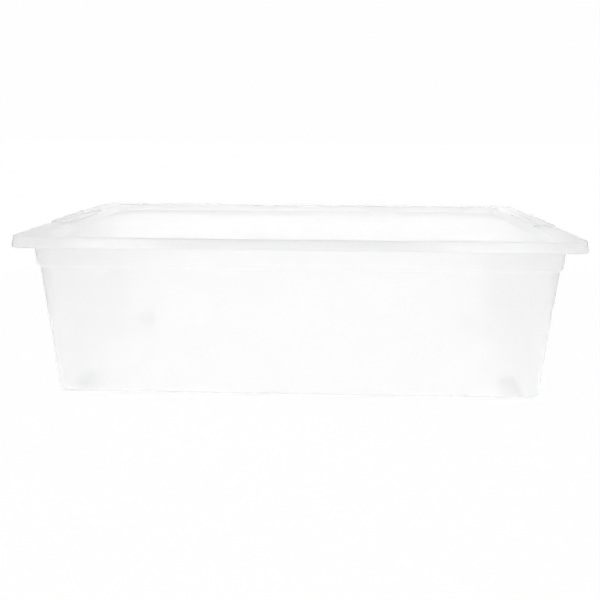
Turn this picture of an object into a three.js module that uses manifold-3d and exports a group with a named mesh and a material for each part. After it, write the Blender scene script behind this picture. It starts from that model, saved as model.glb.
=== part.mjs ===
// Under bed box: a long, low storage tub of clear polypropylene with a lid, two
// clip handles on the short ends and four small wheels let into its floor.
// Millimetres, +Z up. X runs along the box, Y from front to back. The origin is on
// the ground, under the middle of the box. An inset is a distance inwards from the
// lower edge of the lid's skirt, which is the widest line of the lid all round.
import * as THREE from 'three';
import { mergeVertices } from 'three/addons/utils/BufferGeometryUtils.js';
import Module from 'manifold-3d';

const wasm = await Module();
wasm.setup();

// Driving dimensions
const LID_LENGTH = 593;
const LID_WIDTH = 397;
const RIM_TOP = 175.5; // top of the lid's flange above the ground
const WALL = 2;
const GAP = 0.3; // between pieces that touch
const FLOOR_BOTTOM = 1.5; // the tub's underside, held off the ground by the wheels
const OVERCUT = 5; // how far a cutting solid passes the face it cuts
const CORNER_SEGMENTS = 8;
const ROUND_SEGMENTS = 28;

// Lid: a flat flange with a skirt outside it and a recessed panel inside it
const SKIRT_DROP = 11.5;
const SKIRT_FLARE = 2;
const SKIRT_WALL = 1.5;
const LID_CORNER = 19;
const LID_EDGE_ROUND = 0.6;
const FLANGE_WIDTH = 27;
const PANEL_INSET = 35;
const PANEL_DROP = 7;
const PANEL_CORNER = 16;
const RECESS_CORNER = 22;
const TRAY_SET_OUT = 0.8; // how far the recess's outer wall stands out from its inner one

// Tub: a rim under the lid's flange, an upper band, a step and a tapered body
const RIM_INSET = 4.2;
const RIM_LIP = 7.2; // depth of the rim's turned-down edge
const RIM_WALL = 1.8;
const RIM_EDGE_ROUND = 0.7;
const BAND_INSET = 17;
const BAND_FOOT_INSET = 18.8;
const BAND_FOOT_DROP = 31;
const BODY_TOP_INSET = 21.8;
const BODY_TOP_DROP = 36;
const BODY_FOOT_INSET = 33.2;
const FOOT_ROUND = 4;
const FLOOR_ROUND = 3.5; // inside, between the floor and the walls
const RIM_CORNER = 15;
const TUB_CORNER = 20;
const FOOT_CORNER = 17;

// Clip handles on the lid's short ends
const LATCH_LENGTH = 118.6;
const HINGE_INSET = 23.9;
const HINGE_DROP = 0.7;
const BARREL_RADIUS = 2.2;
const STUB_RADIUS = 1.2;
const STUB_REACH = 3; // how far each stub pin stands out of the barrel
const LUG_WIDTH = 5;
const LUG_RISE = 1.5;
const POCKET_WALL = 1.5;
const BARREL_ROOM = 0.6; // beside the barrel, in its pocket
const BARREL_DROP = 0.5; // under the barrel, in its pocket
const OUTER_LUG_WALL = 2.1; // the lug beyond the barrel, towards the skirt
const INNER_LUG_WALL = 1.5; // and towards the panel
const NOTCH_INSET = 5.2;
const POCKET_FLOOR = RIM_TOP - HINGE_DROP - BARREL_RADIUS - BARREL_DROP;

// Wheels and their arched wells
const WHEEL_RADIUS = 8.5;
const WHEEL_WIDTH = 9;
const AXLE_RADIUS = 1.5;
const AXLE_LENGTH = 14.2;
const WHEEL_X = 232.5;
const WHEEL_Y = 150.5;
const WELL_RADIUS = 9.7;
const WELL_WIDTH = 10.4;
const WELL_WALL = 1.6;
const CHEEK = 3.2;
const CHEEK_SLOT = 2.2;

// Colours of the plastics
const clearPlastic = { color: 0xf4f6f7, roughness: 0.3, metalness: 0, transparent: true, opacity: 0.5 };
const lidPlastic = { color: 0xf6f7f8, roughness: 0.32, metalness: 0, transparent: true, opacity: 0.5 };
const latchPlastic = { color: 0xe9ebec, roughness: 0.35, metalness: 0, transparent: true, opacity: 0.7 };
const wheelPlastic = { color: 0xdcdee0, roughness: 0.45, metalness: 0 };
const axlePlastic = { color: 0xe6e8e9, roughness: 0.4, metalness: 0 };

function toSolid(geometry) {
  const welded = geometry.clone();
  welded.deleteAttribute('normal');
  welded.deleteAttribute('uv');
  const merged = mergeVertices(welded, 1e-4);
  return new wasm.Manifold(new wasm.Mesh({
    numProp: 3,
    vertProperties: new Float32Array(merged.attributes.position.array),
    triVerts: new Uint32Array(merged.index.array),
  }));
}

function toMesh(name, solid, finish) {
  const { vertProperties, triVerts } = solid.getMesh();
  const geometry = new THREE.BufferGeometry();
  geometry.setAttribute('position', new THREE.BufferAttribute(vertProperties, 3));
  geometry.setIndex(new THREE.BufferAttribute(triVerts, 1));
  geometry.computeVertexNormals();
  const mesh = new THREE.Mesh(geometry, new THREE.MeshStandardMaterial(finish));
  mesh.name = name;
  return mesh;
}

// A rounded square with its corner centres at (±1, ±1) and corners of radius 1.
function roundedSquare() {
  const shape = new THREE.Shape();
  for (let corner = 0; corner < 4; corner++) {
    const angle = corner * Math.PI / 2;
    const x = corner === 0 || corner === 3 ? 1 : -1;
    const y = corner < 2 ? 1 : -1;
    shape.absarc(x, y, 1, angle, angle + Math.PI / 2, false);
  }
  return shape;
}

// A closed solid through a stack of rounded rectangles, one for each level. A level
// is [height, inset, corner radius]; the extruded square's corners move to fit it.
function loft(levels) {
  const steps = levels.length - 1;
  const geometry = new THREE.ExtrudeGeometry(roundedSquare(), {
    depth: steps,
    steps,
    bevelEnabled: false,
    curveSegments: CORNER_SEGMENTS / 2,
  });
  const position = geometry.attributes.position;
  for (let i = 0; i < position.count; i++) {
    const [height, inset, radius] = levels[Math.round(position.getZ(i))];
    const sideX = Math.sign(position.getX(i));
    const sideY = Math.sign(position.getY(i));
    const centreX = sideX * (LID_LENGTH / 2 - inset - radius);
    const centreY = sideY * (LID_WIDTH / 2 - inset - radius);
    const x = centreX + radius * (position.getX(i) - sideX);
    const y = centreY + radius * (position.getY(i) - sideY);
    position.setXYZ(i, x, y, height);
  }
  return toSolid(geometry);
}

// A box between two insets at the right-hand end of the lid, over a stretch of Y.
function endBlock(insetOut, insetIn, yFrom, yTo, zFrom, zTo) {
  const geometry = new THREE.BoxGeometry(insetIn - insetOut, yTo - yFrom, zTo - zFrom);
  const x = LID_LENGTH / 2 - (insetOut + insetIn) / 2;
  geometry.translate(x, (yFrom + yTo) / 2, (zFrom + zTo) / 2);
  return toSolid(geometry);
}

// A round bar along Y.
function barAlongY(radius, length, x, y, z) {
  const geometry = new THREE.CylinderGeometry(radius, radius, length, ROUND_SEGMENTS);
  geometry.translate(x, y, z);
  return toSolid(geometry);
}

function bothEnds(solid) {
  return solid.add(solid.rotate([0, 0, 180]));
}

function lid() {
  const skirtFoot = RIM_TOP - SKIRT_DROP;
  const underside = RIM_TOP - WALL;
  const panelTop = RIM_TOP - PANEL_DROP;
  const outside = loft([
    [skirtFoot, 0, LID_CORNER],
    [RIM_TOP - LID_EDGE_ROUND, SKIRT_FLARE, LID_CORNER - 1.5],
    [RIM_TOP - 0.3 * LID_EDGE_ROUND, SKIRT_FLARE + 0.3 * LID_EDGE_ROUND, LID_CORNER - 1.8],
    [RIM_TOP, SKIRT_FLARE + LID_EDGE_ROUND, LID_CORNER - 2.5],
  ]);
  const recess = loft([
    [panelTop, PANEL_INSET, PANEL_CORNER],
    [RIM_TOP, FLANGE_WIDTH, RECESS_CORNER],
    [RIM_TOP + OVERCUT, FLANGE_WIDTH, RECESS_CORNER],
  ]);
  const insideSkirt = loft([
    [skirtFoot - OVERCUT, SKIRT_WALL, LID_CORNER - SKIRT_WALL],
    [skirtFoot, SKIRT_WALL, LID_CORNER - SKIRT_WALL],
    [underside, SKIRT_FLARE + SKIRT_WALL, LID_CORNER - SKIRT_WALL - 1.5],
  ]);
  const tray = loft([
    [panelTop - WALL, PANEL_INSET - TRAY_SET_OUT, PANEL_CORNER + TRAY_SET_OUT],
    [underside, FLANGE_WIDTH - TRAY_SET_OUT, RECESS_CORNER + TRAY_SET_OUT],
    [RIM_TOP, FLANGE_WIDTH - TRAY_SET_OUT, RECESS_CORNER + TRAY_SET_OUT],
  ]);
  let solid = outside.subtract(recess).subtract(insideSkirt.subtract(tray));
  solid = solid.add(bothEnds(hingePocket()));
  solid = solid.subtract(bothEnds(latchOpening()));
  return toMesh('lid', solid, lidPlastic);
}

// The lid's walls round a clip handle's barrel, with a lug at each end of it.
function hingePocket() {
  const lugIn = LATCH_LENGTH / 2 + GAP;
  const lugOut = lugIn + LUG_WIDTH;
  const outer = HINGE_INSET - BARREL_RADIUS - OUTER_LUG_WALL;
  const inner = HINGE_INSET + BARREL_RADIUS + INNER_LUG_WALL;
  const foot = POCKET_FLOOR - POCKET_WALL;
  let solid = endBlock(outer, inner, -lugOut, lugOut, foot, RIM_TOP - WALL / 4);
  for (const side of [-1, 1]) {
    const near = Math.min(side * lugIn, side * lugOut);
    solid = solid.add(endBlock(outer, inner, near, near + LUG_WIDTH, foot, RIM_TOP + LUG_RISE));
  }
  return solid;
}

// What is cut out of the lid for a clip handle: the pocket round its barrel, the
// sockets of its stub pins, and the notch in the skirt that its lip goes down through.
function latchOpening() {
  const half = LATCH_LENGTH / 2 + GAP;
  const reach = BARREL_RADIUS + BARREL_ROOM;
  const above = RIM_TOP + OVERCUT;
  const pocket = endBlock(HINGE_INSET - reach, HINGE_INSET + reach, -half, half, POCKET_FLOOR, above);
  const socketLength = 2 * (half + STUB_REACH + GAP);
  const hingeX = LID_LENGTH / 2 - HINGE_INSET;
  const sockets = barAlongY(STUB_RADIUS + GAP, socketLength, hingeX, 0, RIM_TOP - HINGE_DROP);
  const notch = endBlock(-OVERCUT, NOTCH_INSET, -half, half, RIM_TOP - SKIRT_DROP - OVERCUT, above);
  return pocket.add(sockets).add(notch);
}

function tub() {
  const rimTop = RIM_TOP - WALL - GAP;
  const lipFoot = rimTop - RIM_LIP;
  const bodyTop = RIM_TOP - BODY_TOP_DROP;
  const bandFoot = RIM_TOP - BAND_FOOT_DROP;
  const floorTop = FLOOR_BOTTOM + WALL;
  const body = loft([
    [FLOOR_BOTTOM, BODY_FOOT_INSET + FOOT_ROUND, FOOT_CORNER - FOOT_ROUND],
    [FLOOR_BOTTOM + 0.3 * FOOT_ROUND, BODY_FOOT_INSET + 0.3 * FOOT_ROUND, FOOT_CORNER - 1],
    [FLOOR_BOTTOM + FOOT_ROUND, BODY_FOOT_INSET, FOOT_CORNER],
    [bodyTop, BODY_TOP_INSET, TUB_CORNER - 1],
    [bandFoot - 1.5, BAND_FOOT_INSET + 0.6, TUB_CORNER],
    [bandFoot, BAND_FOOT_INSET, TUB_CORNER],
    [rimTop, BAND_INSET, TUB_CORNER],
  ]);
  const rim = loft([
    [lipFoot, RIM_INSET, RIM_CORNER],
    [rimTop - RIM_EDGE_ROUND, RIM_INSET, RIM_CORNER],
    [rimTop, RIM_INSET + RIM_EDGE_ROUND, RIM_CORNER],
  ]);
  const underRim = loft([
    [lipFoot - OVERCUT, RIM_INSET + RIM_WALL, RIM_CORNER - 1],
    [rimTop - RIM_WALL, RIM_INSET + RIM_WALL, RIM_CORNER - 1],
  ]);
  const inside = loft([
    [floorTop, BODY_FOOT_INSET + FOOT_ROUND + WALL, FOOT_CORNER - FOOT_ROUND],
    [floorTop + 0.3 * FLOOR_ROUND, BODY_FOOT_INSET + WALL + 0.3 * FLOOR_ROUND, FOOT_CORNER - WALL],
    [floorTop + FLOOR_ROUND, BODY_FOOT_INSET + WALL, FOOT_CORNER - WALL],
    [bodyTop, BODY_TOP_INSET + WALL, TUB_CORNER - 1 - WALL],
    [bandFoot - 0.8, BAND_FOOT_INSET + WALL + 0.4, TUB_CORNER - WALL],
    [bandFoot + 0.8, BAND_FOOT_INSET + WALL, TUB_CORNER - WALL],
    [rimTop + OVERCUT, BAND_INSET + WALL, TUB_CORNER - WALL],
  ]);
  let solid = rim.subtract(underRim).add(body).subtract(inside);
  for (const [x, y] of wheelPlaces()) {
    solid = solid.add(wellHousing(x, y)).subtract(wellOpening(x, y));
  }
  return toMesh('tub', solid, clearPlastic);
}

// The four wheel centres, seen from above.
function wheelPlaces() {
  const places = [];
  for (const y of [-WHEEL_Y, WHEEL_Y]) {
    for (const x of [-WHEEL_X, WHEEL_X]) {
      places.push([x, y]);
    }
  }
  return places;
}

// An arch standing along Y, with its round top about the wheel's axle.
function arch(radius, width, foot, x, y) {
  const shape = new THREE.Shape();
  shape.moveTo(radius, foot);
  shape.lineTo(radius, WHEEL_RADIUS);
  shape.absarc(0, WHEEL_RADIUS, radius, 0, Math.PI, false);
  shape.lineTo(-radius, foot);
  shape.closePath();
  const geometry = new THREE.ExtrudeGeometry(shape, {
    depth: width,
    bevelEnabled: false,
    curveSegments: ROUND_SEGMENTS / 4,
  });
  geometry.translate(0, 0, -width / 2);
  geometry.rotateX(Math.PI / 2);
  geometry.translate(x, y, 0);
  return toSolid(geometry);
}

function wellHousing(x, y) {
  return arch(WELL_RADIUS + WELL_WALL, WELL_WIDTH + 2 * CHEEK, FLOOR_BOTTOM, x, y);
}

// The hollow round a wheel, and the slots that its axle snaps into from below.
function wellOpening(x, y) {
  const below = FLOOR_BOTTOM - OVERCUT;
  const hollow = arch(WELL_RADIUS, WELL_WIDTH, below, x, y);
  const slots = arch(AXLE_RADIUS + GAP, WELL_WIDTH + 2 * CHEEK_SLOT, below, x, y);
  return hollow.add(slots);
}

// The section of the right-hand clip handle, with its hinge axis at the origin: the
// barrel, a thin web, the raised grip pad, and the lip that hangs over the tub's rim.
function latchSection() {
  const webTop = 1.9;
  const padTop = 2.3;
  const padRound = 1;
  const plateFoot = 1;
  const padStart = HINGE_INSET - 16;
  const outer = HINGE_INSET - 1.6;
  const lipInner = outer - 1.8;
  const noseTip = HINGE_INSET - RIM_INSET + 0.4;
  const noseLow = -11.7;
  const noseHigh = -9.9;
  const lipFoot = -13.3;
  const shape = new THREE.Shape();
  shape.moveTo(Math.sqrt(BARREL_RADIUS ** 2 - webTop ** 2), webTop);
  shape.lineTo(padStart - 0.6, webTop);
  shape.lineTo(padStart, padTop);
  shape.lineTo(outer - 0.7 - padRound, padTop);
  shape.quadraticCurveTo(outer - 0.7, padTop, outer - 0.6, padTop - padRound);
  shape.lineTo(outer, lipFoot + 1);
  shape.quadraticCurveTo(outer, lipFoot, outer - 1, lipFoot);
  shape.lineTo(lipInner + 0.3, lipFoot);
  shape.lineTo(noseTip, noseLow);
  shape.lineTo(noseTip, noseHigh);
  shape.lineTo(lipInner, noseHigh + 0.6);
  shape.lineTo(lipInner, plateFoot);
  shape.lineTo(Math.sqrt(BARREL_RADIUS ** 2 - plateFoot ** 2), plateFoot);
  const from = Math.asin(plateFoot / BARREL_RADIUS);
  const to = Math.asin(webTop / BARREL_RADIUS);
  shape.absarc(0, 0, BARREL_RADIUS, from, to, true);
  return shape;
}

function latch(name, side) {
  const geometry = new THREE.ExtrudeGeometry(latchSection(), {
    depth: LATCH_LENGTH,
    bevelEnabled: false,
    curveSegments: 6,
  });
  geometry.translate(0, 0, -LATCH_LENGTH / 2);
  geometry.rotateX(Math.PI / 2);
  const stubs = barAlongY(STUB_RADIUS, LATCH_LENGTH + 2 * STUB_REACH, 0, 0, 0);
  const mesh = toMesh(name, toSolid(geometry).add(stubs), latchPlastic);
  mesh.position.set(side * (LID_LENGTH / 2 - HINGE_INSET), 0, RIM_TOP - HINGE_DROP);
  mesh.rotation.z = side > 0 ? 0 : Math.PI;
  return mesh;
}

// A small wheel with a rounded tread, a sunk web on both faces and a bored hub.
function wheelSolid() {
  const half = WHEEL_WIDTH / 2;
  const bore = AXLE_RADIUS + 0.4;
  const hub = bore + 1.8;
  const rimInner = WHEEL_RADIUS - 2;
  const web = 1.5;
  const treadRound = 0.8;
  const side = [
    [bore, half],
    [hub, half],
    [hub, web],
    [rimInner - 0.3, web],
    [rimInner, half],
    [WHEEL_RADIUS - treadRound, half],
    [WHEEL_RADIUS, half - treadRound],
  ];
  const mirrored = side.map(([radius, y]) => [radius, -y]);
  const outline = [...mirrored, ...side.reverse()].map(([radius, y]) => new THREE.Vector2(radius, y));
  outline.push(outline[0].clone());
  return toSolid(new THREE.LatheGeometry(outline, ROUND_SEGMENTS));
}

function wheel(name, x, y) {
  const mesh = toMesh(name, wheelSolid(), wheelPlastic);
  mesh.position.set(x, y, WHEEL_RADIUS);
  return mesh;
}

function axle(name, x, y) {
  const geometry = new THREE.CylinderGeometry(AXLE_RADIUS, AXLE_RADIUS, AXLE_LENGTH, ROUND_SEGMENTS);
  const mesh = new THREE.Mesh(geometry, new THREE.MeshStandardMaterial(axlePlastic));
  mesh.name = name;
  mesh.position.set(x, y, WHEEL_RADIUS);
  return mesh;
}

const box = new THREE.Group();
box.add(tub());
box.add(lid());
box.add(latch('latch_left', -1));
box.add(latch('latch_right', 1));

const corners = ['front_left', 'front_right', 'back_left', 'back_right'];
wheelPlaces().forEach(([x, y], i) => {
  box.add(wheel(`wheel_${corners[i]}`, x, y));
  box.add(axle(`axle_${corners[i]}`, x, y));
});

export default box;
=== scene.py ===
import math

import bmesh
import bpy
from mathutils import Matrix, Vector


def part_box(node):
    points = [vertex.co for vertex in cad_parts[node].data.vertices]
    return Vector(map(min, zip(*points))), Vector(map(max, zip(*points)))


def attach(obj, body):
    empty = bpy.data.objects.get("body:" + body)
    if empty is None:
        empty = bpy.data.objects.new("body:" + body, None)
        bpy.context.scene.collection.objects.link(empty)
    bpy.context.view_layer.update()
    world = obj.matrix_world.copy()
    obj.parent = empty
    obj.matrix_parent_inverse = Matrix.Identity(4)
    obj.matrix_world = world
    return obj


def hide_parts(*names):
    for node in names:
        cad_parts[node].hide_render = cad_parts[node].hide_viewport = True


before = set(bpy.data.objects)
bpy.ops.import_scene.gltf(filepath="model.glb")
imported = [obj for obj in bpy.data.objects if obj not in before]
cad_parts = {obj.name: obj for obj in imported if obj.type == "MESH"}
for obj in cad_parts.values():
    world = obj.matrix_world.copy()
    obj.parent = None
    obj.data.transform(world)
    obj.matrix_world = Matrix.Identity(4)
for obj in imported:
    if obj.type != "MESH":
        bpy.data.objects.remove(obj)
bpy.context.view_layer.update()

# ---------------------------------------------------------------- sizes, in metres
MM = 0.001
WALL = 2 * MM
LID_LOW, LID_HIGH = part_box("lid")
TUB_LOW, TUB_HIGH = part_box("tub")
HALF_LENGTH = LID_HIGH.x  # to the lower edge of the lid's skirt
HALF_WIDTH = LID_HIGH.y
LUG_RISE = 1.5 * MM  # the hinge lugs are the lid's highest points
RIM_TOP = LID_HIGH.z - LUG_RISE  # the upper face of the lid's flange
SKIRT_FOOT = LID_LOW.z
TUB_FOOT = TUB_LOW.z
TUB_RIM = TUB_HIGH.z

CORNER_STEPS = 18  # per rounded corner, seen from above
FILLET_STEPS = 6  # per rounded corner of a section
ROUND_STEPS = 24  # per turn of a small pin or hole
SAME_POINT = 0.01 * MM  # points closer than this are joined
PAST = 2 * MM  # how far a cutting tool reaches past the surface that it opens


# ---------------------------------------------------------------- outlines
def full_turn(steps):
    return [math.tau * i / steps for i in range(steps)]


def circle(radius):
    return [radius * Vector((math.cos(t), math.sin(t))) for t in full_turn(ROUND_STEPS)]


def rounded_outline(inset, radius, z):
    """A rounded rectangle, the lid's outline moved inwards by inset, counter-clockwise."""
    points = []
    for corner in range(4):
        centre = Vector((
            (1 if corner in (0, 3) else -1) * (HALF_LENGTH - inset - radius),
            (1 if corner < 2 else -1) * (HALF_WIDTH - inset - radius),
            z,
        ))
        for step in range(CORNER_STEPS + 1):
            angle = math.radians(90 * corner + 90 * step / CORNER_STEPS)
            arm = Vector((radius * math.cos(angle), radius * math.sin(angle), 0))
            points.append(centre + arm)
    return points


def rounded_chain(points, steps):
    """A polyline with its corners rounded. A point is (inset, z, corner radius, fillet)."""
    chain = []
    for i, point in enumerate(points):
        here, fillet = Vector(point[:3]), point[3]
        if fillet == 0 or i in (0, len(points) - 1):
            chain.append(here)
            continue
        before, after = Vector(points[i - 1][:3]), Vector(points[i + 1][:3])
        back, ahead = (before - here).to_2d(), (after - here).to_2d()
        turn = math.pi - back.angle(ahead)
        reach = fillet * math.tan(turn / 2)
        start = here + (before - here) * (reach / back.length)
        end = here + (after - here) * (reach / ahead.length)
        side = (back.normalized() + ahead.normalized()).normalized()
        centre = here.to_2d() + side * (fillet / math.cos(turn / 2))
        first, last = start.to_2d() - centre, end.to_2d() - centre
        sense = math.copysign(1, first.x * last.y - first.y * last.x)
        for step in range(steps + 1):
            share = step / steps
            flat = centre + Matrix.Rotation(sense * turn * share, 2) @ first
            chain.append(Vector((flat.x, flat.y, start.z + (end.z - start.z) * share)))
    return chain


# ---------------------------------------------------------------- meshes
def add_object(name, data):
    obj = bpy.data.objects.new(name, data)
    bpy.context.scene.collection.objects.link(obj)
    return obj


def bmesh_object(name, bm):
    bmesh.ops.recalc_face_normals(bm, faces=bm.faces)
    mesh = bpy.data.meshes.new(name)
    bm.to_mesh(mesh)
    bm.free()
    return add_object(name, mesh)


def join_rings(bm, rings):
    """Fills the bands between closed rings of points, each ring to the next."""
    for here, there in zip(rings, rings[1:]):
        for i in range(len(here)):
            j = (i + 1) % len(here)
            bm.faces.new((here[i], here[j], there[j], there[i]))


def ringed(name, rings, bevel=0.0):
    """A solid through rings of places. bevel rounds the edges of the flat faces at its ends."""
    bm = bmesh.new()
    rings = [[bm.verts.new(place) for place in ring] for ring in rings]
    join_rings(bm, rings)
    ends = [bm.faces.new(rings[0]), bm.faces.new(rings[-1])]
    if bevel:
        round_edges(bm, {edge for face in ends for edge in face.edges}, bevel)
    return bmesh_object(name, bm)


def round_edges(bm, edges, bevel, segments=3):
    bmesh.ops.bevel(
        bm, geom=list(edges), offset=bevel, segments=segments, profile=0.5, affect="EDGES"
    )


def moulding(name, section):
    """A closed shell: a section swept round the rounded rectangle."""
    chain = rounded_chain(section, FILLET_STEPS)
    return ringed(name, [rounded_outline(inset, radius, z) for inset, z, radius in chain])


def extruded(name, outline, width, place, bevel=0.0):
    """An outline in X and Z, extruded along Y about place."""
    rings = [[Vector((x, y, z)) + place for x, z in outline] for y in (-width / 2, width / 2)]
    return ringed(name, rings, bevel)


def turned(name, profile, place, steps, shape):
    """A closed profile of (radius, y) turned about an axle along Y. shape gives y at each angle."""
    bm = bmesh.new()
    rings = []
    for angle in full_turn(steps):
        ring = []
        for radius, y in profile:
            x, z = radius * math.cos(angle), radius * math.sin(angle)
            ring.append(bm.verts.new(place + Vector((x, shape(radius, y, angle), z))))
        rings.append(ring)
    join_rings(bm, rings + rings[:1])
    return bmesh_object(name, bm)


def block(name, low, high, bevel, segments=3):
    """A box with rounded edges."""
    bm = bmesh.new()
    bmesh.ops.create_cube(bm, size=1)
    size, centre = high - low, (high + low) / 2
    for vert in bm.verts:
        vert.co = centre + vert.co * size
    if bevel:
        round_edges(bm, bm.edges, bevel, segments)
    return bmesh_object(name, bm)


def sheet(name, corners):
    """One flat face."""
    bm = bmesh.new()
    bm.faces.new([bm.verts.new(corner) for corner in corners])
    return bmesh_object(name, bm)


def combine(target, tool, operation):
    """Joins or cuts target with tool, and removes tool."""
    modifier = target.modifiers.new("combine", "BOOLEAN")
    modifier.operation = operation
    modifier.solver = "EXACT"
    modifier.object = tool
    graph = bpy.context.evaluated_depsgraph_get()
    mesh = bpy.data.meshes.new_from_object(target.evaluated_get(graph), depsgraph=graph)
    target.modifiers.clear()
    old = target.data
    target.data = mesh
    bpy.data.meshes.remove(old)
    bpy.data.objects.remove(tool)


def clean_cuts(obj):
    """Joins the points that cuts and joins leave on one another."""
    bm = bmesh.new()
    bm.from_mesh(obj.data)
    bmesh.ops.remove_doubles(bm, verts=bm.verts, dist=SAME_POINT)
    bmesh.ops.dissolve_degenerate(bm, dist=SAME_POINT, edges=bm.edges)
    bm.to_mesh(obj.data)
    bm.free()


def smooth(obj, degrees=35):
    """Smooth shading that keeps the sharp edges and the flat faces."""
    mesh = obj.data
    mesh.polygons.foreach_set("use_smooth", [True] * len(mesh.polygons))
    mesh.set_sharp_from_angle(angle=math.radians(degrees))
    weighted = obj.modifiers.new("weighted", "WEIGHTED_NORMAL")
    weighted.keep_sharp = True
    weighted.weight = 80


def place_piece(obj, body, node, material):
    obj.data.materials.clear()
    obj.data.materials.append(material)
    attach(obj, body)
    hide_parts(node)


# ---------------------------------------------------------------- materials
IOR = 1.49
MILK = (0.995, 0.996, 0.997, 1)
PATTERN_SCALE, PATTERN_DETAIL = 14, 4
PATTERN_LOW, PATTERN_HIGH = 0.3, 0.7  # nearly all of the noise lies between these
ROUGH_SPREAD, CLOUD_SPREAD = 0.03, 0.015


def new_material(name):
    material = bpy.data.materials.new(name)
    material.use_nodes = True
    tree = material.node_tree
    tree.nodes.clear()
    return material, tree


def add_output(tree, shader):
    out = tree.nodes.new("ShaderNodeOutputMaterial")
    tree.links.new(shader.outputs[0], out.inputs["Surface"])
    return out


def remap(tree, value, low, high, start=0.0, end=1.0):
    """A node that turns a value between start and end into one between low and high."""
    node = tree.nodes.new("ShaderNodeMapRange")
    limits = {"From Min": start, "From Max": end, "To Min": low, "To Max": high}
    for key, number in limits.items():
        node.inputs[key].default_value = number
    tree.links.new(value, node.inputs["Value"])
    return node


def object_noise(tree, scale, detail):
    """A noise pattern fixed to the piece, with a size of about 1 / scale metres."""
    place = tree.nodes.new("ShaderNodeTexCoord")
    noise = tree.nodes.new("ShaderNodeTexNoise")
    noise.inputs["Scale"].default_value = scale
    noise.inputs["Detail"].default_value = detail
    tree.links.new(place.outputs["Object"], noise.inputs["Vector"])
    return noise.outputs["Fac"]


def varied(tree, pattern, mean, share):
    """The mean, moved up and down by the given share of it as the pattern goes."""
    low, high = mean * (1 - share), mean * (1 + share)
    return remap(tree, pattern, low, high, PATTERN_LOW, PATTERN_HIGH).outputs["Result"]


def clear_plastic(name, rough, cloud, absorb):
    """Clear polypropylene: it bends and blurs the light behind it, and cloud is its milkiness."""
    material, tree = new_material(name)
    pattern = object_noise(tree, PATTERN_SCALE, PATTERN_DETAIL)
    clear = tree.nodes.new("ShaderNodeBsdfPrincipled")
    clear.inputs["Base Color"].default_value = (1, 1, 1, 1)
    clear.inputs["Transmission Weight"].default_value = 1
    clear.inputs["IOR"].default_value = IOR
    tree.links.new(varied(tree, pattern, rough, ROUGH_SPREAD), clear.inputs["Roughness"])
    milk = tree.nodes.new("ShaderNodeBsdfTranslucent")
    milk.inputs["Color"].default_value = MILK
    mix = tree.nodes.new("ShaderNodeMixShader")
    tree.links.new(varied(tree, pattern, cloud, CLOUD_SPREAD), mix.inputs[0])
    tree.links.new(clear.outputs[0], mix.inputs[1])
    tree.links.new(milk.outputs[0], mix.inputs[2])
    depth = tree.nodes.new("ShaderNodeVolumeAbsorption")
    depth.inputs["Color"].default_value = (0, 0, 0, 1)
    depth.inputs["Density"].default_value = absorb
    out = add_output(tree, mix)
    tree.links.new(depth.outputs[0], out.inputs["Volume"])
    return material


# ---------------------------------------------------------------- tub
# An inset is measured inwards from the lid's outline, seen from above.
RIM_INSET = 4.2 * MM
RIM_LIP = 7.2 * MM  # how far the rim's edge turns down
RIM_WALL = 1.8 * MM
BAND_INSET = 17 * MM
BAND_FOOT_INSET = 18.8 * MM
BAND_FOOT = RIM_TOP - 31 * MM
BODY_TOP_INSET = 21.8 * MM
BODY_TOP = RIM_TOP - 36 * MM
BODY_FOOT_INSET = 33.2 * MM
RIM_CORNER = 15 * MM
TUB_CORNER = 20 * MM
FOOT_CORNER = 17 * MM
FOOT_FILLET = 3.5 * MM

WHEELS = ["front_left", "front_right", "back_left", "back_right"]
AXLE_RADIUS = 1.5 * MM
AXLE_SLOT_GAP = 0.3 * MM
WELL_GAP = 1.2 * MM
WELL_WALL = 1.6 * MM
WELL_WIDTH = 10.4 * MM
WELL_ROUND = 2.2 * MM
CHEEK = 3.2 * MM
CHEEK_SLOT = 2.2 * MM
ARCH_STEPS = 24


def tub_section():
    """The tub's section, from the middle of the floor's upper face, over the rim, to the foot."""
    floor_top = TUB_FOOT + WALL
    floor_end, end_corner = BODY_FOOT_INSET + 12 * MM, FOOT_CORNER - 10 * MM
    rim_inner, lip_foot = RIM_INSET + RIM_WALL, TUB_RIM - RIM_LIP
    inner_corner, lip_corner = TUB_CORNER - WALL, RIM_CORNER - 1 * MM
    return [
        (floor_end, floor_top, end_corner, 0),
        (BODY_FOOT_INSET + WALL, floor_top, FOOT_CORNER - WALL, FOOT_FILLET),
        (BODY_TOP_INSET + WALL, BODY_TOP, inner_corner - 1 * MM, 3 * MM),
        (BAND_FOOT_INSET + WALL, BAND_FOOT, inner_corner, 3 * MM),
        (BAND_INSET + WALL, TUB_RIM, inner_corner, 1.2 * MM),
        (RIM_INSET, TUB_RIM, RIM_CORNER, 1.2 * MM),
        (RIM_INSET, lip_foot, RIM_CORNER, 0.6 * MM),
        (rim_inner, lip_foot, lip_corner, 0.6 * MM),
        (rim_inner, TUB_RIM - RIM_WALL, lip_corner, 0.8 * MM),
        (BAND_INSET, TUB_RIM - RIM_WALL, TUB_CORNER, 1.2 * MM),
        (BAND_FOOT_INSET, BAND_FOOT, TUB_CORNER, 0.6 * MM),
        (BODY_TOP_INSET, BODY_TOP, TUB_CORNER - 1 * MM, 2.5 * MM),
        (BODY_FOOT_INSET, TUB_FOOT, FOOT_CORNER, FOOT_FILLET),
        (floor_end, TUB_FOOT, end_corner, 0),
    ]


def middle(node):
    low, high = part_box(node)
    return (low + high) / 2


def half_width(node):
    low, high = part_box(node)
    return (high.y - low.y) / 2


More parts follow.
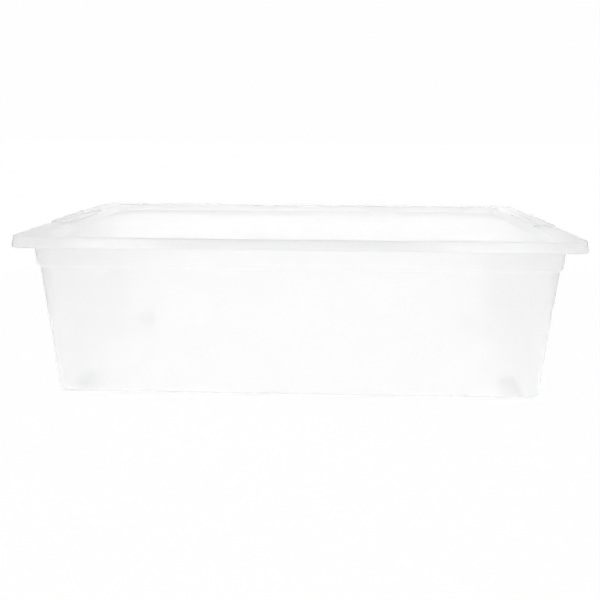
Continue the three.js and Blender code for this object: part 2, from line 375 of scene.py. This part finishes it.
def arch(name, radius, foot, width, centre, bevel=0.0):
    """An arch along Y: a half round over straight legs that reach down to foot."""
    angles = [math.pi * i / ARCH_STEPS for i in range(ARCH_STEPS + 1)]
    outline = [(radius, foot - centre.z)]
    outline += [(radius * math.cos(t), radius * math.sin(t)) for t in angles]
    outline.append((-radius, foot - centre.z))
    return extruded(name, outline, width, centre, bevel)


def add_well(tub, centre):
    """A wheel's well: an arched housing, the hollow in it, and the axle's slot in its cheeks."""
    radius = centre.z + WELL_GAP  # the wheel stands on the ground, so its radius is centre.z
    below = TUB_FOOT - PAST
    cheeks = WELL_WIDTH + 2 * CHEEK
    slot = WELL_WIDTH + 2 * CHEEK_SLOT
    housing = arch("housing", radius + WELL_WALL, TUB_FOOT + WALL / 2, cheeks, centre, WELL_ROUND)
    combine(tub, housing, "UNION")
    combine(tub, arch("hollow", radius, below, WELL_WIDTH, centre), "DIFFERENCE")
    combine(tub, arch("slot", AXLE_RADIUS + AXLE_SLOT_GAP, below, slot, centre), "DIFFERENCE")


def make_tub(material):
    tub = moulding("tub_shell", tub_section())
    for corner in WHEELS:
        add_well(tub, middle(f"wheel_{corner}"))
    clean_cuts(tub)
    smooth(tub)
    place_piece(tub, "tub", "tub", material)


# ---------------------------------------------------------------- lid
SKIRT_FLARE = 2 * MM
SKIRT_WALL = 1.5 * MM
LID_CORNER = 19 * MM
LID_EDGE_ROUND = 0.6 * MM
FLANGE_WIDTH = 27 * MM
PANEL_INSET = 35 * MM
PANEL_TOP = RIM_TOP - 7 * MM
PANEL_CORNER = 16 * MM
PANEL_FILLET = 3.5 * MM
RECESS_CORNER = 22 * MM
TRAY_SET_OUT = 0.8 * MM

GAP = 0.3 * MM
HINGE_INSET = 23.9 * MM
HINGE_X = HALF_LENGTH - HINGE_INSET
HINGE_Z = RIM_TOP - 0.7 * MM
BARREL_RADIUS = 2.2 * MM
STUB_RADIUS = 1.2 * MM
STUB_REACH = 3 * MM
LUG_WIDTH = 5 * MM
LUG_ROUND = 0.7 * MM
LATCH_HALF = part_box("latch_right")[1].y - STUB_REACH
POCKET_FLOOR = HINGE_Z - BARREL_RADIUS - 0.5 * MM
NOTCH_INSET = 5.2 * MM


def lid_section():
    """The lid's section, from the panel's upper face, over the flange, to its underside."""
    underside = RIM_TOP - WALL
    panel_end, end_corner = PANEL_INSET + 14 * MM, PANEL_CORNER - 10 * MM
    return [
        (panel_end, PANEL_TOP, end_corner, 0),
        (PANEL_INSET, PANEL_TOP, PANEL_CORNER, PANEL_FILLET),
        (FLANGE_WIDTH, RIM_TOP, RECESS_CORNER, 2.5 * MM),
        (SKIRT_FLARE, RIM_TOP, LID_CORNER - 1.5 * MM, LID_EDGE_ROUND),
        (0, SKIRT_FOOT, LID_CORNER, LID_EDGE_ROUND),
        (SKIRT_WALL, SKIRT_FOOT, LID_CORNER - SKIRT_WALL, 0.4 * MM),
        (SKIRT_FLARE + SKIRT_WALL, underside, LID_CORNER - 3 * MM, 0.5 * MM),
        (FLANGE_WIDTH - TRAY_SET_OUT, underside, RECESS_CORNER, 1.5 * MM),
        (PANEL_INSET - TRAY_SET_OUT, PANEL_TOP - WALL, PANEL_CORNER, PANEL_FILLET),
        (panel_end, PANEL_TOP - WALL, end_corner, 0),
    ]


def end_block(name, side, insets, across, heights, bevel=0.0):
    """A box at one end of the lid, between two insets, two places across it and two heights."""
    xs = sorted(side * (HALF_LENGTH - inset) for inset in insets)
    low, high = (Vector(corner) for corner in zip(xs, across, heights))
    return block(name, low, high, bevel)


def add_hinge(lid, side):
    """The lid's part of a clip handle's hinge: pocket, two lugs with their sockets, and notch."""
    insets = (HINGE_INSET - BARREL_RADIUS - 2.1 * MM, HINGE_INSET + BARREL_RADIUS + 1.5 * MM)
    half = LATCH_HALF + GAP
    far = half + LUG_WIDTH
    foot, above = POCKET_FLOOR - 1.5 * MM, RIM_TOP + 4 * MM
    pocket = end_block("pocket", side, insets, (-far, far), (foot, RIM_TOP - 0.6 * MM))
    combine(lid, pocket, "UNION")
    for end in (-1, 1):
        across = sorted((end * half, end * far))
        heights = (foot, RIM_TOP + LUG_RISE)
        combine(lid, end_block("lug", side, insets, across, heights, LUG_ROUND), "UNION")
    clear = BARREL_RADIUS + 0.6 * MM
    insets = (HINGE_INSET - clear, HINGE_INSET + clear)
    hollow = end_block("hollow", side, insets, (-half, half), (POCKET_FLOOR, above))
    combine(lid, hollow, "DIFFERENCE")
    length = 2 * (half + STUB_REACH + GAP)
    hinge = Vector((side * HINGE_X, 0, HINGE_Z))
    combine(lid, extruded("socket", circle(STUB_RADIUS + GAP), length, hinge), "DIFFERENCE")
    insets, heights = (-3 * MM, NOTCH_INSET), (SKIRT_FOOT - PAST, above)
    combine(lid, end_block("notch", side, insets, (-half, half), heights), "DIFFERENCE")


def make_lid(material):
    lid = moulding("lid_shell", lid_section())
    for side in (-1, 1):
        add_hinge(lid, side)
    clean_cuts(lid)
    smooth(lid)
    place_piece(lid, "lid", "lid", material)


# ---------------------------------------------------------------- clip handles
WEB_TOP, PAD_TOP, PLATE_FOOT = 1.9 * MM, 2.3 * MM, 1 * MM  # above the hinge axis
PAD_START = HINGE_INSET - 16 * MM  # out from the hinge axis
PAD_END = HINGE_INSET - 1.6 * MM
LIP_INNER = PAD_END - 1.8 * MM
LIP_FOOT = -13.3 * MM
NOSE = HINGE_INSET - RIM_INSET + 0.4 * MM
BARREL_STEPS = 30
CLIP_ROUND, STUB_ROUND = 0.35 * MM, 0.3 * MM

GUSSETS = 12
GUSSET_SPACING = 9.6 * MM
GUSSET_HALF = 0.6 * MM
GUSSET_REACH = (1.2 * MM, PAD_START + 0.2 * MM)
GUSSET_HEIGHTS = (1.2 * MM, 2.25 * MM)
GUSSET_ROUND = 0.2 * MM


def latch_outline():
    """The clip handle's section, outwards from its hinge axis: barrel, web, grip pad and lip."""
    corners = [
        (BARREL_RADIUS * 0.5, WEB_TOP, 0, 0),
        (PAD_START - 0.6 * MM, WEB_TOP, 0, 0.4 * MM),
        (PAD_START, PAD_TOP, 0, 0.5 * MM),
        (PAD_END - 0.65 * MM, PAD_TOP, 0, 1 * MM),
        (PAD_END, LIP_FOOT, 0, 0.9 * MM),
        (LIP_INNER + 0.3 * MM, LIP_FOOT, 0, 0.3 * MM),
        (NOSE, LIP_FOOT + 1.6 * MM, 0, 0.15 * MM),
        (NOSE, LIP_FOOT + 3.4 * MM, 0, 0.15 * MM),
        (LIP_INNER, LIP_FOOT + 4 * MM, 0, 0.3 * MM),
        (LIP_INNER, PLATE_FOOT, 0, 0.8 * MM),
        (BARREL_RADIUS * 0.89, PLATE_FOOT, 0, 0),
    ]
    outline = [(p.x, p.y) for p in rounded_chain(corners, 5)]
    start = math.asin(PLATE_FOOT / BARREL_RADIUS)
    end = math.asin(WEB_TOP / BARREL_RADIUS) - math.tau
    for i in range(BARREL_STEPS + 1):
        angle = start + (end - start) * i / BARREL_STEPS
        outline.append((BARREL_RADIUS * math.cos(angle), BARREL_RADIUS * math.sin(angle)))
    return outline


def add_gussets(latch, side, hinge):
    """Short gussets across the web, between the barrel and the grip pad."""
    for i in range(GUSSETS):
        y = (i - (GUSSETS - 1) / 2) * GUSSET_SPACING
        xs = sorted(side * reach for reach in GUSSET_REACH)
        corners = zip(xs, (y - GUSSET_HALF, y + GUSSET_HALF), GUSSET_HEIGHTS)
        low, high = (hinge + Vector(corner) for corner in corners)
        combine(latch, block("gusset", low, high, GUSSET_ROUND, 2), "UNION")


def make_latch(name, side, material):
    outline = [(side * x, z) for x, z in latch_outline()]
    hinge = Vector((side * HINGE_X, 0, HINGE_Z))
    latch = extruded(name + "_clip", outline, 2 * LATCH_HALF, hinge, CLIP_ROUND)
    length = 2 * (LATCH_HALF + STUB_REACH)
    combine(latch, extruded("stub", circle(STUB_RADIUS), length, hinge, STUB_ROUND), "UNION")
    add_gussets(latch, side, hinge)
    smooth(latch)
    place_piece(latch, name, name, material)


# ---------------------------------------------------------------- wheels and axles
WHEEL_STEPS, AXLE_STEPS = 72, 40
TURNED_SHARP = 40  # degrees
BORE_GAP = 0.4 * MM
WEB_HALF = 1.5 * MM
WEB_NEAR, WEB_FAR = 0.5 * MM, 2.2 * MM  # the web's faces lie between these
SPOKES, SPOKE_RISE, SPOKE_POWER = 6, 1.3 * MM, 6
CHAMFER = 0.35 * MM
NEARLY_ZERO = 0.02 * MM


def wheel_profile(radius, half):
    """Half of the wheel's section and its mirror image: hub, sunk web and tread."""
    bore = AXLE_RADIUS + BORE_GAP
    corners = [
        (bore, 0, 0, 0),
        (bore, half, 0, 0.3 * MM),
        (bore + 1.8 * MM, half, 0, 0.3 * MM),
        (bore + 2.1 * MM, WEB_HALF, 0, 0.5 * MM),
        (radius - 2.3 * MM, WEB_HALF, 0, 0.5 * MM),
        (radius - 2.0 * MM, half, 0, 0.3 * MM),
        (radius, half, 0, 1.2 * MM),
        (radius, 0, 0, 0),
    ]
    side = [(p.x, p.y) for p in rounded_chain(corners, 4)]
    return side + [(r, -y) for r, y in reversed(side[1:-1])]


def make_wheel(corner, material):
    node = f"wheel_{corner}"
    centre = middle(node)
    radius = centre.z
    web_start, web_end = AXLE_RADIUS + 2.6 * MM, radius - 2.4 * MM

    def ribbed(r, y, angle):
        """y, with both faces of the sunk web raised into low ribs."""
        if not (web_start < r < web_end and WEB_NEAR < abs(y) < WEB_FAR):
            return y
        wave = max(0.0, math.cos(angle * SPOKES)) ** SPOKE_POWER
        return y + math.copysign(SPOKE_RISE * wave, y)

    profile = wheel_profile(radius, half_width(node))
    wheel = turned(node + "_roller", profile, centre, WHEEL_STEPS, ribbed)
    smooth(wheel, TURNED_SHARP)
    place_piece(wheel, node, node, material)


def make_axle(corner, material):
    node = f"axle_{corner}"
    centre, half = middle(node), half_width(node)
    side = [
        (NEARLY_ZERO, half),
        (AXLE_RADIUS - CHAMFER, half),
        (AXLE_RADIUS - CHAMFER / 3, half - CHAMFER / 3),
        (AXLE_RADIUS, half - CHAMFER),
        (AXLE_RADIUS, 0),
    ]
    profile = side + [(r, -y) for r, y in reversed(side[:-1])]
    turn = full_turn(AXLE_STEPS)
    rings = [
        [centre + Vector((r * math.cos(t), y, r * math.sin(t))) for t in turn] for r, y in profile
    ]
    axle = ringed(node + "_pin", rings)
    smooth(axle, TURNED_SHARP)
    place_piece(axle, "tub", node, material)


# ---------------------------------------------------------------- stage, light and camera
# SEEN is the strength where the camera looks straight at it, LIT the light that it gives.
WORLD_SEEN, WORLD_LIT = 0.99, 1.075
FLOOR_SEEN, FLOOR_LIT = 0.945, 1.1
FLOOR_HALF, FLOOR_GREY, FLOOR_ROUGH = 14, 0.05, 0.9
FLOOR_FADE_NEAR, FLOOR_FADE_FAR, FLOOR_SHADE = 0.18, 0.6, 0.88
FLAG_X, FLAG_NEAR, FLAG_FAR, FLAG_TOP = 0.52, -0.9, 1.1, 0.5
FLAG_FADE_Y, FLAG_FADE_Z, FLAG_SHADE = 0.3, 0.2, 0.66
SQUARE = ((-1, -1), (1, -1), (1, 1), (-1, 1))

# Cards: name, centre, width, height and strength.
CARDS_BEFORE = [
    ("card_back", (0, -3.4, 0.9), 6, 3.0, 0.1),
    ("card_front", (0, -3.2, 0.9), 2.3, 2.6, 0.65),
    ("softbox_left", (-0.95, -3.1, 0.95), 0.38, 1.0, 3.3),
    ("softbox_right", (0.78, -3.1, 0.95), 0.46, 1.0, 3.4),
]
CARD_BEHIND = ("softbox_behind", (0, 2.2, 0.5), 5, 0.6, 1.23)

CAMERA = Vector((0.0302, -1.0314, 0.2876))
YAW, PITCH, ROLL = math.radians(1.824), math.radians(11.77), math.radians(0.355)
LENS, SENSOR = 50.12, 36

CLEAR_BOUNCES, MILKY_BOUNCES = 200, 100  # light crosses many walls before it leaves the box
STRAIGHT_PASSES = 32


def seen_or_lit(tree, seen, lit):
    """A strength: seen where the camera looks straight at the surface, lit for all other light."""
    path = tree.nodes.new("ShaderNodeLightPath")
    return remap(tree, path.outputs["Is Camera Ray"], lit, seen)


def axis_fade(tree, axis, near, far, low, high):
    """A smooth change from low to high, from near to far on both sides of the middle."""
    place = tree.nodes.new("ShaderNodeTexCoord")
    split = tree.nodes.new("ShaderNodeSeparateXYZ")
    tree.links.new(place.outputs["Object"], split.inputs[0])
    away = tree.nodes.new("ShaderNodeMath")
    away.operation = "ABSOLUTE"
    tree.links.new(split.outputs[axis], away.inputs[0])
    fade = remap(tree, away.outputs[0], low, high, near, far)
    fade.interpolation_type = "SMOOTHSTEP"
    return fade.outputs["Result"]


def emitter(name):
    """A material that gives white light, its tree, and the socket of its strength."""
    material, tree = new_material(name)
    light = tree.nodes.new("ShaderNodeEmission")
    light.inputs["Color"].default_value = (1, 1, 1, 1)
    add_output(tree, light)
    return material, tree, light.inputs["Strength"]


def hide_card(card):
    """Leaves a card out of the camera's view and the shadows."""
    card.visible_camera = False
    card.visible_shadow = False


def make_world():
    world = bpy.data.worlds.new("studio")
    bpy.context.scene.world = world
    world.use_nodes = True
    tree = world.node_tree
    background = tree.nodes["Background"]
    background.inputs["Color"].default_value = (1, 1, 1, 1)
    level = seen_or_lit(tree, WORLD_SEEN, WORLD_LIT)
    tree.links.new(level.outputs["Result"], background.inputs["Strength"])


def make_floor():
    """A pale, lit table top, shaded to both sides of the box."""
    floor = sheet("floor", [(x * FLOOR_HALF, y * FLOOR_HALF, 0) for x, y in SQUARE])
    material, tree = new_material("floor")
    shader = tree.nodes.new("ShaderNodeBsdfPrincipled")
    shader.inputs["Base Color"].default_value = (FLOOR_GREY, FLOOR_GREY, FLOOR_GREY, 1)
    shader.inputs["Roughness"].default_value = FLOOR_ROUGH
    shader.inputs["Specular IOR Level"].default_value = 0
    shader.inputs["Emission Color"].default_value = (1, 1, 1, 1)
    level = seen_or_lit(tree, FLOOR_SEEN, FLOOR_LIT)
    fade = axis_fade(tree, "X", FLOOR_FADE_NEAR, FLOOR_FADE_FAR, FLOOR_LIT, FLOOR_SHADE)
    tree.links.new(fade, level.inputs["To Min"])
    tree.links.new(level.outputs["Result"], shader.inputs["Emission Strength"])
    add_output(tree, shader)
    floor.data.materials.append(material)


def make_card(name, centre, width, height, strength):
    """A flat card that faces the lid's front. It shows only in the box's gloss and through it."""
    card = sheet(name, [(x * width / 2, 0, z * height / 2) for x, z in SQUARE])
    target = Vector((0, -HALF_WIDTH, RIM_TOP))
    card.location = centre
    card.rotation_euler = (target - Vector(centre)).to_track_quat("Y", "Z").to_euler()
    material, _, level = emitter(name)
    level.default_value = strength
    card.data.materials.append(material)
    hide_card(card)
    return card


def make_flag(side):
    """A grey card beside the box, fading to white at its far end and its top."""
    name, x = f"flag_{side + 1}", side * FLAG_X
    ends = ((FLAG_NEAR, 0.0), (FLAG_FAR, 0.0), (FLAG_FAR, FLAG_TOP), (FLAG_NEAR, FLAG_TOP))
    flag = sheet(name, [(x, y, z) for y, z in ends])
    material, tree, level = emitter(name)
    both = tree.nodes.new("ShaderNodeMath")
    both.operation = "MULTIPLY"
    tree.links.new(axis_fade(tree, "Y", FLAG_FADE_Y, FLAG_FAR, 1, 0), both.inputs[0])
    tree.links.new(axis_fade(tree, "Z", FLAG_FADE_Z, FLAG_TOP, 1, 0), both.inputs[1])
    shade = remap(tree, both.outputs[0], WORLD_LIT, FLAG_SHADE)
    tree.links.new(shade.outputs["Result"], level)
    flag.data.materials.append(material)
    hide_card(flag)


def make_camera():
    camera = bpy.data.cameras.new("camera")
    camera.lens = LENS
    camera.sensor_width = SENSOR
    obj = add_object("camera", camera)
    flat = math.cos(PITCH)
    ahead = Vector((-math.sin(YAW) * flat, math.cos(YAW) * flat, -math.sin(PITCH)))
    right = Vector((math.cos(YAW), math.sin(YAW), 0))
    up = right.cross(ahead)
    right, up = (
        math.cos(ROLL) * right + math.sin(ROLL) * up,
        math.cos(ROLL) * up - math.sin(ROLL) * right,
    )
    turn = Matrix((right, up, -ahead)).transposed()
    obj.matrix_world = Matrix.Translation(CAMERA) @ turn.to_4x4()
    bpy.context.scene.camera = obj


def set_scene():
    """Plain colours, and enough bounces for the light to cross all the walls."""
    scene = bpy.context.scene
    scene.view_settings.view_transform = "Standard"
    scene.cycles.max_bounces = CLEAR_BOUNCES
    scene.cycles.transmission_bounces = CLEAR_BOUNCES
    scene.cycles.glossy_bounces = CLEAR_BOUNCES
    scene.cycles.diffuse_bounces = MILKY_BOUNCES
    scene.cycles.blur_glossy = 0
    scene.cycles.transparent_max_bounces = STRAIGHT_PASSES
    scene.cycles.caustics_refractive = True
    scene.cycles.caustics_reflective = True


def make_studio():
    make_world()
    make_floor()
    for card in CARDS_BEFORE:
        make_card(*card)
    behind = make_card(*CARD_BEHIND)
    behind.visible_diffuse = False
    behind.visible_transmission = False
    for side in (-1, 1):
        make_flag(side)
    make_camera()
    set_scene()


make_studio()
clear = clear_plastic("clear_polypropylene", rough=0.06, cloud=0.3, absorb=0.1)
lid_clear = clear_plastic("lid_polypropylene", rough=0.13, cloud=0.3, absorb=2)
cloudy = clear_plastic("cloudy_polypropylene", rough=0.13, cloud=0.3, absorb=0.1)
white = clear_plastic("natural_wheel_plastic", rough=0.1, cloud=0.9, absorb=0)
pin = clear_plastic("natural_axle_plastic", rough=0.1, cloud=0.9, absorb=0)

make_tub(clear)
make_lid(lid_clear)
make_latch("latch_left", -1, cloudy)
make_latch("latch_right", 1, cloudy)
for wheel_corner in WHEELS:
    make_wheel(wheel_corner, white)
    make_axle(wheel_corner, pin)
